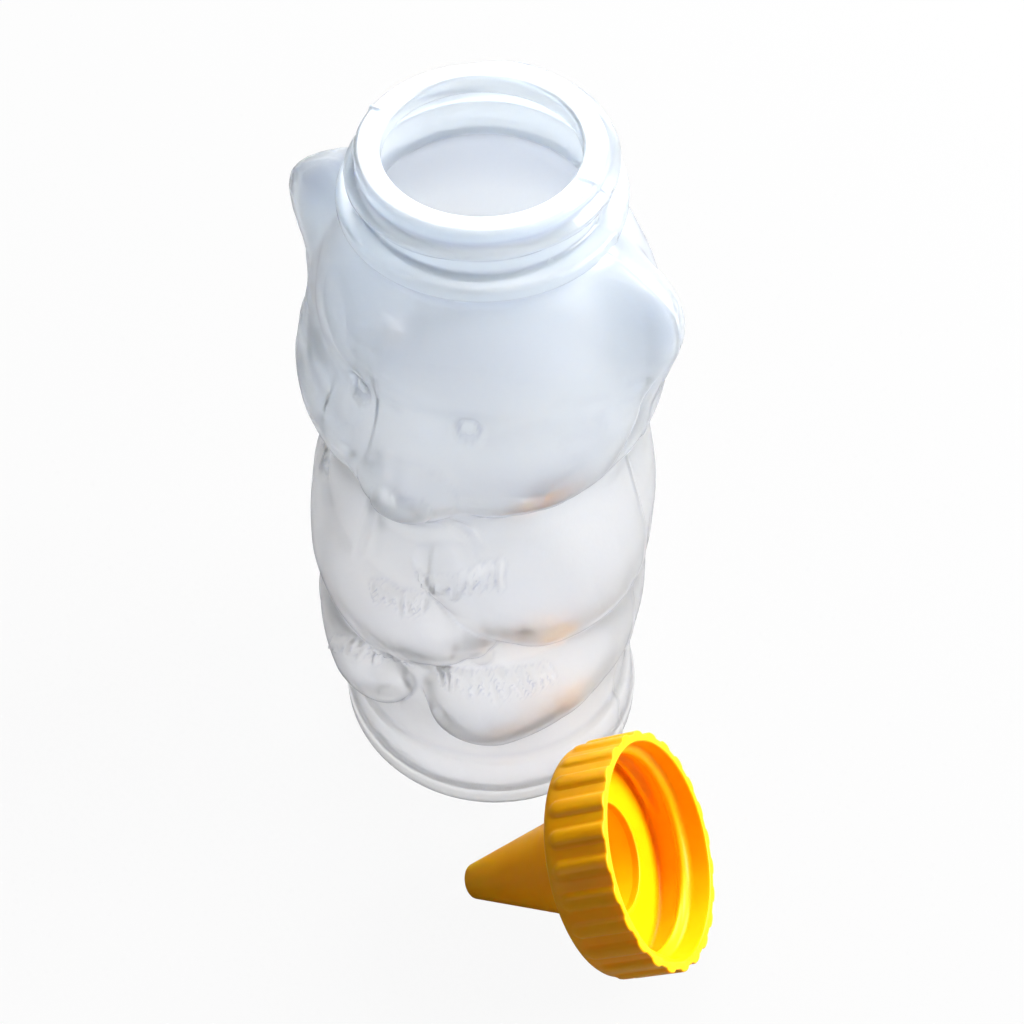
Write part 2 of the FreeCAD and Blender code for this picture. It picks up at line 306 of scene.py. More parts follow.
@dataclass(frozen=True)
class Fringe:
    """A row of embossed strands of fur that hang side by side from a line of roots.

    The roots are directions and heights along the line; lengths are millimetres.
    """

    roots: Table
    strands: int
    length: float
    lean: float
    seed: int
    half_width: float = 0.55
    depth: float = 0.8

    def thickness(self, direction: Array, height: Array) -> Array:
        """Return how far the strands stand out.

        Args:
            direction: Directions around the figure.
            height: Heights above the foot.

        Returns:
            The thickness at each place.
        """
        best = np.zeros(np.broadcast(direction, height).shape)
        chance = np.random.default_rng(self.seed)
        places = [root[0] for root in self.roots]
        last = len(self.roots) - 1
        line = SmoothLine(tuple((i / last,) + tuple(root) for i, root in enumerate(self.roots)), 2)
        for k in range(self.strands):
            at = (k + chance.uniform(0.15, 0.85)) / self.strands
            root = np.interp(at, np.linspace(0, 1, len(places)), places)
            length = self.length * chance.uniform(0.55, 1.25)
            lean, wave = self.lean * chance.uniform(0.5, 1.4), chance.uniform(-0.35, 0.35)
            x = turn(direction, root) * ARC
            down = (line(np.array(at)) + chance.uniform(-0.5, 0.5) - height) / length
            along = np.clip(down, 0, 1)
            across = (x - lean * along - wave * np.sin(along * 5)) / (self.half_width * (1.15 - along))
            inside = np.clip(1 - across * across, 0, 1) * smooth_step(down * 5) * smooth_step((1 - down) * 4)
            best = np.maximum(best, self.depth * chance.uniform(0.7, 1.1) * inside)
        return best


@dataclass(frozen=True)
class BearFigure:
    """The outside of the blown figure, as a radius for each direction and height."""

    height: float = 130.5
    crease_height: float = 89.0
    crease_tilt: float = 1.5
    outline: Table = (
        (0, 28.2, 29.6, 28.4), (5, 28.2, 29.6, 28.4), (6.8, 27.6, 29, 27.8),
        (14.6, 27, 27.9, 27.3), (16.6, 26.2, 26.9, 26.6), (22, 26.2, 26.8, 27),
        (30, 26.6, 27.2, 28), (40, 27.2, 27.8, 28.4), (50, 27.6, 28.2, 28.8),
        (60, 27.8, 28.4, 29), (70, 27.2, 28.2, 28.6), (78, 26.4, 27.2, 27.8),
        (84, 25.4, 25.8, 26.4), (88, 24.6, 24.9, 25.2), (91.5, 24.8, 25.8, 25.9),
        (95, 25.6, 27.4, 27.6), (100, 25.4, 28, 28.6), (105, 24.6, 27.6, 28.6),
        (110, 23.9, 26.7, 28), (116, 24.4, 25.6, 26.2), (121, 23.8, 24, 24),
        (125, 22.3, 22.3, 22.1), (128, 20.4, 20.4, 20.3), (130.5, 18.4, 18.4, 18.4))
    left_arm: Limb = Limb((
        (100, 73, 14, 0.6), (74, 68.5, 13, 2.2), (52, 69, 12.5, 3.2), (34, 71.5, 10.5, 3.2),
        (17, 76, 6.5, 2.6)), 0.75, 0.55, 1.6)
    right_arm: Limb = Limb((
        (-100, 72, 13, 0.6), (-74, 66, 13, 2.4), (-48, 57, 13, 3.4), (-20, 56.5, 11.5, 3.2),
        (4, 59, 9, 3), (16, 62.5, 7.5, 2.4)), 0.8, 0.55, 1.5)
    left_leg: Limb = Limb((
        (100, 41, 10, 1), (72, 42, 11, 2.4), (50, 40, 11.8, 4.2), (28, 37.5, 11.8, 6.2)), 0.85, 0.5, 1.4)
    left_jaw: Limb = Limb((
        (8, 96, 6, 0.6), (32, 98.5, 8, 2.3), (45, 100.8, 8.5, 2.8), (57, 103.2, 8.5, 2.7),
        (65, 107, 8, 2.2), (71, 112, 7, 1.3), (79, 117, 6, 0.2)), 0.8, 0.45, 1.5, True)
    muzzle: Pad = Pad(-1, 95.0, 17.0, 14.0, 3.7, 2.2)
    snout: Pad = Pad(1, 96.5, 8.6, 6.6, 1.2, 0.75)
    nose: Pad = Pad(2, 95.7, 4.6, 3.0, 1.0, 0.25)
    navel: Pad = Pad(25, 55.5, 2.0, 3.6, 0.7, 0.7)
    brow: Pad = Pad(0, 118.5, 17.0, 3.2, 1.1)
    fur: tuple[Fringe, ...] = (
        Fringe(((5, 76.8), (13, 78.6), (22, 80.2), (33, 82.0)), 26, 4.8, -0.8, 3),      # left paw
        Fringe(((8, 50.0), (20, 50.6), (34, 51.0), (47, 51.5)), 28, 5.0, 1.6, 5),       # left foot
        Fringe(((-32, 43.5), (-22, 46.8), (-10, 49.6), (1, 50.2)), 22, 4.8, -1.2, 8),   # right foot
        Fringe(((-14, 68.5), (-5, 69.5), (6, 70.0)), 14, 4.5, 0.9, 11),                 # right paw
        Fringe(((-72, 86.0), (-62, 84.0), (-52, 81.0)), 12, 7.5, 0.8, 13))              # right shoulder
    brow_line: Limb = Limb((
        (-42, 122, 2.4, 0.15), (-32, 120, 2.6, 0.4), (-25, 117.5, 3.0, 0.4), (-13, 117, 4.0, 0.45),
        (1, 118, 4.4, 0.5), (11, 119, 4.4, 0.5), (26, 119.5, 4.2, 0.5), (37, 118, 3.8, 0.45),
        (46, 116.6, 3.4, 0.35), (66, 113.7, 3.0, 0.1)), 1.0, 1.7, 0.5)
    left_chest: Limb = Limb((
        (14, 91.5, 1.3, 0.2), (17, 89, 1.5, 0.6), (21, 86.5, 1.4, 0.5), (25, 84, 1.2, 0.1)), 1.0, 1.0, 1.0)
    right_chest: Limb = Limb((
        (-15, 89, 1.2, 0.1), (-18, 84, 1.5, 0.5), (-21, 77, 1.5, 0.4), (-24, 69, 1.2, 0.1)), 1.0, 1.0, 1.0)
    dent: Pad = Pad(-5, 111, 1.5, 1.5, 0.2)
    parting_height: float = 0.22
    parting_width: float = 0.55
    eye_direction: float = 22.0
    eye_height: float = 110.0
    eye_socket: tuple[float, ...] = (3.6, 3.6, 0.5)
    eye_recess: tuple[float, ...] = (2.6, 2.6, 1.0, 0.5)
    eye_middle: tuple[float, ...] = (1.7, 1.7, 0.9, 0.6)
    left_ear: Ear = Ear(Side.LEFT, 0.92)
    right_ear: Ear = Ear(Side.RIGHT, 1.285, 2.2)

    def plain_radius(self, direction: Array, height: Array) -> Array:
        """Return the outline's radius, mixed smoothly from its front, side and back values.

        Args:
            direction: Directions around the figure.
            height: Heights above the foot.

        Returns:
            The radius at each place.
        """
        front, side, back = [SmoothLine(self.outline, column)(height) for column in (1, 2, 3)]
        angle = np.radians(direction)
        mean, sway, oval = (front + back) / 4 + side / 2, (front - back) / 2, (front + back) / 4 - side / 2
        return mean + sway * np.cos(angle) + oval * np.cos(2 * angle)

    def face(self, direction: Array, height: Array, level: Array) -> Array:
        """Return the relief of the head: muzzle, jaws, brow, nose, eyes and ears.

        Args:
            direction: Directions around the figure.
            height: Heights above the foot.
            level: The heights as the cocked head carries them.

        Returns:
            How far the head stands out of the plain outline.
        """
        jaws = [limb.thickness(direction, level) for limb in (self.left_jaw, self.left_jaw.mirrored())]
        out = greater(self.muzzle.thickness(direction, height), np.maximum(*jaws))
        for part in (self.brow, self.snout, self.nose, self.left_ear, self.right_ear):
            out = out + part.thickness(direction, height)
        for side in Side:
            at = (side.value * self.eye_direction, self.eye_height)
            for sizes, sign in ((self.eye_socket, -1), (self.eye_recess, -1), (self.eye_middle, 1)):
                out = out + sign * Pad(*at, *sizes).thickness(direction, height)
        return out

    def radius(self, direction: Array, height: Array) -> Array:
        """Return the outside radius of the figure.

        Args:
            direction: Directions around the figure.
            height: Heights above the foot.

        Returns:
            The radius at each place.
        """
        tilt = np.sin(np.radians(direction)) * np.exp(-(((height - self.crease_height) / 8) ** 2))
        level = height - self.crease_tilt * tilt
        arms = np.maximum(*[arm.thickness(direction, height) for arm in (self.left_arm, self.right_arm)])
        legs = np.maximum(*[leg.thickness(direction, height)
                            for leg in (self.left_leg, self.left_leg.mirrored())])
        out = self.plain_radius(direction, level) + np.maximum(arms, legs)
        out = out + self.face(direction, height, level)
        for part in (self.navel, *self.fur):
            out = out + part.thickness(direction, height)
        for part in (self.brow_line, self.left_chest, self.right_chest, self.dent):
            out = out - part.thickness(direction, height)
        for side in (-90, 90):
            out = out + self.parting_height * np.exp(-((turn(direction, side) / self.parting_width) ** 2))
        return out


# ---- meshes that go round an axis ----

@dataclass
class RoundShell:
    """A closed surface made of rings around Z. Each ring is a height and a radius for every column."""

    directions: Array
    heights: list[Array]
    radii: list[Array]

    def add(self, height: float | Array, radius: float | Array) -> None:
        """Add a ring with one value, or a value for each column."""
        self.heights.append(np.zeros_like(self.directions) + height)
        self.radii.append(np.zeros_like(self.directions) + radius)

    def add_all(self, heights: Array, radii: Array) -> None:
        """Add a ring for each height, with its row of radii."""
        for height, row in zip(heights, radii):
            self.add(height, row)

    def mesh(self, name: str, ends_meet: bool = False) -> bpy.types.Mesh:
        """Build the mesh.

        Args:
            name: The mesh's name.
            ends_meet: True where the last ring joins the first, and False where both close on the axis.

        Returns:
            The mesh, in metres.
        """
        angle = np.radians(self.directions - 90.0)
        height, radius = np.array(self.heights), np.array(self.radii)
        points = np.stack([radius * np.cos(angle), radius * np.sin(angle), height], axis=-1).reshape(-1, 3)
        rings, columns = height.shape
        here = np.arange(columns)
        ahead = (here + 1) % columns
        pairs = [(j * columns, (j + 1) * columns) for j in range(rings - 1)]
        if ends_meet:
            pairs.append(((rings - 1) * columns, 0))
        faces = [np.stack([a + here, a + ahead, b + ahead, b + here], -1) for a, b in pairs]
        faces = np.concatenate(faces).tolist()
        if not ends_meet:
            low, high = len(points), len(points) + 1
            poles = [[0, 0, height[0].mean()], [0, 0, height[-1].mean()]]
            points = np.vstack([points, poles])
            last = (rings - 1) * columns
            faces += [[low, int(k), int(i)] for i, k in zip(here, ahead)]
            faces += [[high, last + int(i), last + int(k)] for i, k in zip(here, ahead)]
        made = bpy.data.meshes.new(name)
        made.from_pydata((points * MM).tolist(), [], faces)
        made.polygons.foreach_set("use_smooth", [True] * len(made.polygons))
        return made


@dataclass(frozen=True)
class RoundedOutline:
    """An outline of straight runs with rounded corners, in the plane of radius and height.

    Each corner is a radius, a height and the corner's rounding, which may be zero.
    """

    corners: Table
    closed: bool = False

    def points(self, spacing: float) -> list[tuple[float, float]]:
        """Return points along the outline.

        Args:
            spacing: The widest gap between points on a straight run.

        Returns:
            Pairs of radius and height, closer together round the corners.
        """
        count = len(self.corners)
        bends: list[list[Array]] = []
        for i, (x, y, rounding) in enumerate(self.corners):
            here = np.array([x, y])
            if rounding <= 0 or (not self.closed and i in (0, count - 1)):
                bends.append([here])
                continue
            before = np.array(self.corners[i - 1][:2]) - here
            after = np.array(self.corners[(i + 1) % count][:2]) - here
            before, after = before / np.linalg.norm(before), after / np.linalg.norm(after)
            half = math.acos(np.clip(np.dot(before, after), -1, 1)) / 2
            middle = (before + after) / np.linalg.norm(before + after)
            centre = here + middle * rounding / math.sin(half)
            sweep = math.pi / 2 - half
            steps = max(2, math.ceil(sweep / math.radians(24)))
            side = (before - np.dot(before, middle) * middle) / math.sin(half)
            bends.append([centre - rounding * (middle * math.cos(a) - side * math.sin(a))
                          for a in np.linspace(sweep, -sweep, 2 * steps + 1)])
        made: list[tuple[float, float]] = []
        for i, bend in enumerate(bends):
            made += [tuple(point) for point in bend]
            if i == count - 1 and not self.closed:
                break
            start, end = bend[-1], bends[(i + 1) % count][0]
            gaps = math.ceil(np.linalg.norm(end - start) / spacing)
            made += [tuple(start + (end - start) * k / gaps) for k in range(1, gaps)]
        return made


# ---- geometry nodes: what repeats or follows a rule ----

class ShellRule:
    """A geometry node tree that moves the points of a shell in or out by a rule with named sizes."""

    name = "shell_rule"
    sizes: tuple[str, ...] = ()

    def __init__(self) -> None:
        """Build the tree."""
        self.tree = bpy.data.node_groups.new(self.name, "GeometryNodeTree")
        sockets = self.tree.interface
        sockets.new_socket("Geometry", in_out="OUTPUT", socket_type="NodeSocketGeometry")
        sockets.new_socket("Geometry", in_out="INPUT", socket_type="NodeSocketGeometry")
        for size in self.sizes:
            sockets.new_socket(size, in_out="INPUT", socket_type="NodeSocketFloat")
        sockets.new_socket("Material", in_out="INPUT", socket_type="NodeSocketMaterial")
        self.inputs = self.tree.nodes.new("NodeGroupInput").outputs
        place = self.node("GeometryNodeInputPosition").outputs[0]
        self.place = self.node("ShaderNodeSeparateXYZ", inputs={0: place}).outputs
        flat = self.node("ShaderNodeCombineXYZ", inputs={0: self.place[0], 1: self.place[1]}).outputs[0]
        out = self.node("ShaderNodeVectorMath", {"operation": "NORMALIZE"}, {0: flat}).outputs[0]
        self.angle = self.math("ARCTAN2", self.place[1], self.place[0])
        shift = self.node("ShaderNodeVectorMath", {"operation": "SCALE"}, {0: out, "Scale": self.rise()})
        moved = self.node("GeometryNodeSetPosition", inputs={
            0: self.inputs["Geometry"], "Offset": shift.outputs[0]})
        real = self.node("GeometryNodeRealizeInstances", inputs={0: moved.outputs[0]})
        dressed = self.node("GeometryNodeSetMaterial", inputs={
            0: real.outputs[0], "Material": self.inputs["Material"]})
        self.node("NodeGroupOutput", inputs={0: dressed.outputs[0]})

    def node(self, kind: str, settings: dict | None = None, inputs: dict | None = None) -> bpy.types.Node:
        """Add a node to this tree; the arguments are those of add_node."""
        return add_node(self.tree, kind, settings, inputs)

    def math(self, operation: str, *values: float | Socket) -> Socket:
        """Add a math node and return its result."""
        return self.node("ShaderNodeMath", {"operation": operation}, dict(enumerate(values))).outputs[0]

    def mask(self) -> Socket:
        """Return how far each point takes part in the rule, from the mesh's own attribute."""
        named = self.node("GeometryNodeInputNamedAttribute", {"data_type": "FLOAT"}, {"Name": self.name})
        return named.outputs["Attribute"]

    def ramp(self, value: Socket, start: float | Socket, end: float | Socket) -> Socket:
        """Rise smoothly from 0 at start to 1 at end."""
        return self.node("ShaderNodeMapRange", {"interpolation_type": "SMOOTHSTEP"},
                         {"Value": value, "From Min": start, "From Max": end}).outputs["Result"]

    def rise(self) -> Socket:
        """Return how far each point moves outwards, in metres."""
        raise NotImplementedError

    def apply(self, piece: bpy.types.Object, mask: Array, material: bpy.types.Material,
              **values: float) -> None:
        """Move a piece's points by the rule and keep the result as its plain mesh.

        Args:
            piece: The piece, with its axis on Z.
            mask: How far each point takes part, from 0 to 1.
            material: The finish that the piece gets.
            values: The sizes by input name, with _ for each space.
        """
        attribute = piece.data.attributes.new(self.name, "FLOAT", "POINT")
        attribute.data.foreach_set("value", mask.astype(np.float32))
        modifier = piece.modifiers.new(self.name, "NODES")
        modifier.node_group = self.tree
        identifiers = {item.name: item.identifier for item in self.tree.interface.items_tree
                       if item.in_out == "INPUT"}
        modifier[identifiers["Material"]] = material
        for name, value in values.items():
            modifier[identifiers[name.replace("_", " ").capitalize()]] = float(value)
        graph = bpy.context.evaluated_depsgraph_get()
        made = bpy.data.meshes.new_from_object(piece.evaluated_get(graph))
        piece.modifiers.remove(modifier)
        old, piece.data = piece.data, made
        made.name = piece.name
        bpy.data.meshes.remove(old)


class GripRibs(ShellRule):
    """Straight ribs round a skirt, with rounded crests and rounded lower ends."""

    name = "grip_ribs"
    sizes = ("Count", "Height", "Half width", "Skirt radius", "Lowest point")

    def rise(self) -> Socket:
        """Return the rib's height where a point lies on one, as a socket of the tree.

        Returns:
            The socket, zero between the ribs.
        """
        turns = self.math("MULTIPLY", self.angle, self.math("DIVIDE", self.inputs["Count"], 2 * math.pi))
        beside = self.math("ABSOLUTE", self.math("SUBTRACT", turns, self.math("ROUND", turns)))
        girth = self.math("MULTIPLY", self.inputs["Skirt radius"], 2 * math.pi)
        across = self.math("MULTIPLY", beside, self.math("DIVIDE", girth, self.inputs["Count"]))
        centre = self.math("ADD", self.inputs["Lowest point"], self.inputs["Half width"])
        below = self.math("MAXIMUM", self.math("SUBTRACT", centre, self.place[2]), 0.0)
        squares = self.math("ADD", self.math("POWER", across, 2.0), self.math("POWER", below, 2.0))
        share = self.math("DIVIDE", self.math("SQRT", squares), self.inputs["Half width"])
        steep = self.math("POWER", self.math("MINIMUM", share, 1.0), 3.0)
        crest = self.math("POWER", self.math("SUBTRACT", 1.0, steep), 0.8)
        return self.math("MULTIPLY", self.math("MULTIPLY", crest, self.inputs["Height"]), self.mask())


class ScrewThread(ShellRule):
    """A helical ridge with soft flanks that starts and ends in a short slope."""

    name = "screw_thread"
    sizes = ("Pitch", "Depth", "Turns", "Start direction", "Start height", "Half crest", "Half root",
             "Run in")

    def rise(self) -> Socket:
        """Return the ridge's depth at a point, as a socket of the tree.

        Returns:
            The socket. A negative depth makes a thread that points inwards.
        """
        past_start = self.math("SUBTRACT", self.angle, self.inputs["Start direction"])
        part = self.math("FRACT", self.math("DIVIDE", past_start, 2 * math.pi))
        above_start = self.math("SUBTRACT", self.place[2], self.inputs["Start height"])
        level = self.math("DIVIDE", above_start, self.inputs["Pitch"])
        whole = self.math("ROUND", self.math("SUBTRACT", level, part))
        last = self.math("FLOOR", self.math("SUBTRACT", self.inputs["Turns"], part))
        ridge = self.math("MINIMUM", self.math("MAXIMUM", whole, 0.0), last)
        along = self.math("ADD", ridge, part)
        offset = self.math("ABSOLUTE", self.math("SUBTRACT", level, along))
        away = self.math("MULTIPLY", offset, self.inputs["Pitch"])
        shape = self.ramp(away, self.inputs["Half root"], self.inputs["Half crest"])
        start = self.ramp(along, 0.0, self.inputs["Run in"])
        slope_start = self.math("SUBTRACT", self.inputs["Turns"], self.inputs["Run in"])
        end = self.ramp(along, self.inputs["Turns"], slope_start)
        ridge_depth = self.math("MULTIPLY", shape, self.inputs["Depth"])
        size = self.math("MULTIPLY", self.math("MULTIPLY", start, end), ridge_depth)
        return self.math("MULTIPLY", size, self.mask())


# ---- finishes ----

@dataclass(frozen=True)
class MilkyPolyethylene:
    """Natural low-density polyethylene, extrusion blow moulded.

    Light goes into the wall and spreads in it, so edges glow, shadows are pale and the far wall shows as a
    soft change of tone. The surface has the faint orange peel of a blasted mould under a waxy gloss.
    clear is the share of light that goes straight through, a little less in the thick neck, and frost is
    how much the wall blurs what is behind it. The edge colour is painted shade: it darkens creases and
    undersides where shade falls, and at steep walls it is painted darkening that stands in for the longer
    path of light through the wall seen edge-on. cloud, peel and heights are millimetres.
    """

    name: str = "milky_polyethylene"
    slot: str = "milky_polyethylene"
    body: str = "#fbfbfc"
    neck: str = "#ebf2f9"
    # edge is the painted shade colour, mixed into the wall at creases, steep walls and undersides
    edge: str = "#b2b7c9"
    neck_starts: float = 58.0
    neck_full: float = 143.0
    roughness: float = 0.24
    spread: float = 3.0
    clear: float = 0.92
    neck_clear: float = 0.82
    frost: float = 0.3
    cloud: float = 22.0
    cloud_lift: float = 14.0
    peel: float = 1.6
    peel_depth: float = 0.25
    # shares of painted shade: in creases, at steep walls (painted darkening for the longer path through the
    # wall seen edge-on) and on undersides
    crease_painted_shade: float = 0.7
    steep_painted_darkening: float = 0.9
    under_painted_shade: float = 0.3

    def painted_shade_share(self, tree: Tree, normal: Socket) -> Socket:
        """Add the nodes that paint shade into the colour: in creases, at steep walls and on undersides.

        Args:
            tree: The material's tree.
            normal: The way each point faces.

        Returns:
            The share of the painted shade colour.
        """
        # painted shade in creases, where the surface is concave
        bend = add_node(tree, "ShaderNodeNewGeometry").outputs["Pointiness"]
        crease_shade = add_node(tree, "ShaderNodeMapRange", inputs={
            "Value": bend, "From Min": 0.5, "From Max": 0.44, "To Max": self.crease_painted_shade}).outputs["Result"]
        # painted darkening at steep walls, standing in for the longer path of light through the wall seen
        # edge-on
        slant = add_node(tree, "ShaderNodeLayerWeight", inputs={"Blend": 0.35}).outputs["Facing"]
        steep = add_node(tree, "ShaderNodeMapRange", {"interpolation_type": "SMOOTHSTEP"}, {
            "Value": slant, "From Min": 0.6, "From Max": 1.0, "To Max": self.steep_painted_darkening}).outputs["Result"]
        # painted shade on surfaces that face down
        facing = add_node(tree, "ShaderNodeSeparateXYZ", inputs={0: normal}).outputs["Z"]
        under = add_node(tree, "ShaderNodeMapRange", {"interpolation_type": "SMOOTHSTEP"}, {
            "Value": facing, "From Min": -0.02, "From Max": -0.45,
            "To Max": self.under_painted_shade}).outputs["Result"]
        side = add_node(tree, "ShaderNodeMath", {"operation": "MAXIMUM"}, {0: crease_shade, 1: steep}).outputs[0]
        return add_node(tree, "ShaderNodeMath", {"operation": "MAXIMUM"}, {0: side, 1: under}).outputs[0]

    def material(self) -> bpy.types.Material:
        """Build the material.

        Returns:
            The material, a mix of the milky plastic and the light that goes straight through it.
        """
        made = bpy.data.materials.new(self.name)
        tree = empty_tree(made)
        where = add_node(tree, "ShaderNodeTexCoord").outputs
        place = where["Object"]
        height = add_node(tree, "ShaderNodeSeparateXYZ", inputs={0: place}).outputs["Z"]
        cloud = add_node(tree, "ShaderNodeTexNoise", inputs={
            "Vector": place, "Scale": 1 / (self.cloud * MM), "Detail": 2.0, "Roughness": 0.45})
        lift = add_node(tree, "ShaderNodeMath", {"operation": "MULTIPLY_ADD"}, {
            0: cloud.outputs[0], 1: self.cloud_lift * MM, 2: height})
        wall = add_node(tree, "ShaderNodeMapRange", {"interpolation_type": "SMOOTHSTEP"}, {
            "Value": lift.outputs[0], "From Min": self.neck_starts * MM, "From Max": self.neck_full * MM})
        plain = add_node(tree, "ShaderNodeMix", {"data_type": "RGBA"}, {
            0: wall.outputs["Result"], 6: linear(self.body), 7: linear(self.neck)})
        peel = add_node(tree, "ShaderNodeTexNoise", inputs={
            "Vector": place, "Scale": 1 / (self.peel * MM), "Detail": 3.0, "Roughness": 0.6})
        bump = add_node(tree, "ShaderNodeBump", inputs={
            "Strength": 0.12, "Distance": self.peel_depth * MM, "Height": peel.outputs[0]})
        # the painted shade colour is mixed into the base colour of both the milky and the clear parts
        colour = add_node(tree, "ShaderNodeMix", {"data_type": "RGBA"}, {
            0: self.painted_shade_share(tree, where["Normal"]), 6: plain.outputs[2], 7: linear(self.edge)}).outputs[2]
        milk = add_node(tree, "ShaderNodeBsdfPrincipled", inputs={
            "Base Color": colour, "Roughness": self.roughness, "IOR": 1.51,
            "Subsurface Weight": 1.0, "Subsurface Radius": (1.0, 1.05, 1.15),
            "Subsurface Scale": self.spread * MM, "Normal": bump.outputs[0]}).outputs[0]
        glass = add_node(tree, "ShaderNodeBsdfPrincipled", inputs={
            "Base Color": colour, "Roughness": self.frost, "IOR": 1.3, "Transmission Weight": 1.0,
            "Coat Weight": 0.4, "Coat Roughness": self.roughness, "Normal": bump.outputs[0]}).outputs[0]
        clear = add_node(tree, "ShaderNodeMapRange", inputs={
            "Value": wall.outputs["Result"], "To Min": self.clear, "To Max": self.neck_clear})
        mixed = add_node(tree, "ShaderNodeMixShader", inputs={0: clear.outputs["Result"], 1: milk, 2: glass})
        add_node(tree, "ShaderNodeOutputMaterial", inputs={0: mixed.outputs[0]})
        return made


@dataclass(frozen=True)
class YellowPolypropylene:
    """Polypropylene coloured right through, injection moulded.

    The tool's polish gives a soft gloss, and light that enters the thin walls comes out again as a deep glow.
    flow is the size in millimetres of the cloudy change of tone that the melt leaves, and grain is that of
    the tool's fine texture, drawn coarser than the real 0.1 mm so that it shows.
    """

    name: str = "yellow_polypropylene"
    slot: str = "yellow_polypropylene"
    colour: str = "#ffbe02"
    flow_colour: str = "#f2a402"
    roughness: float = 0.36
    spread: float = 1.6
    flow: float = 9.0
    grain: float = 0.5
    grain_depth: float = 0.05

    def material(self) -> bpy.types.Material:
        """Build the material.

        Returns:
            The material, with the soft change of tone that the flow of the melt leaves.
        """
        made = bpy.data.materials.new(self.name)
        tree = empty_tree(made)
        place = add_node(tree, "ShaderNodeTexCoord").outputs["Object"]
        flow = add_node(tree, "ShaderNodeTexNoise", inputs={
            "Vector": place, "Scale": 1 / (self.flow * MM), "Detail": 2.0, "Roughness": 0.5})
        colour = add_node(tree, "ShaderNodeMix", {"data_type": "RGBA"}, {
            0: flow.outputs[0], 6: linear(self.colour), 7: linear(self.flow_colour)})
        grain = add_node(tree, "ShaderNodeTexNoise", inputs={
            "Vector": place, "Scale": 1 / (self.grain * MM), "Detail": 2.0})
        bump = add_node(tree, "ShaderNodeBump", inputs={
            "Strength": 0.08, "Distance": self.grain_depth * MM, "Height": grain.outputs[0]})
        shader = add_node(tree, "ShaderNodeBsdfPrincipled", inputs={
            "Base Color": colour.outputs[2], "Roughness": self.roughness, "IOR": 1.49,
            "Specular IOR Level": 0.18, "Subsurface Weight": 0.35, "Subsurface Radius": (1.0, 0.6, 0.08),
            "Subsurface Scale": self.spread * MM, "Normal": bump.outputs[0]})
        add_node(tree, "ShaderNodeOutputMaterial", inputs={0: shader.outputs[0]})
        return made


# ---- bottle ----

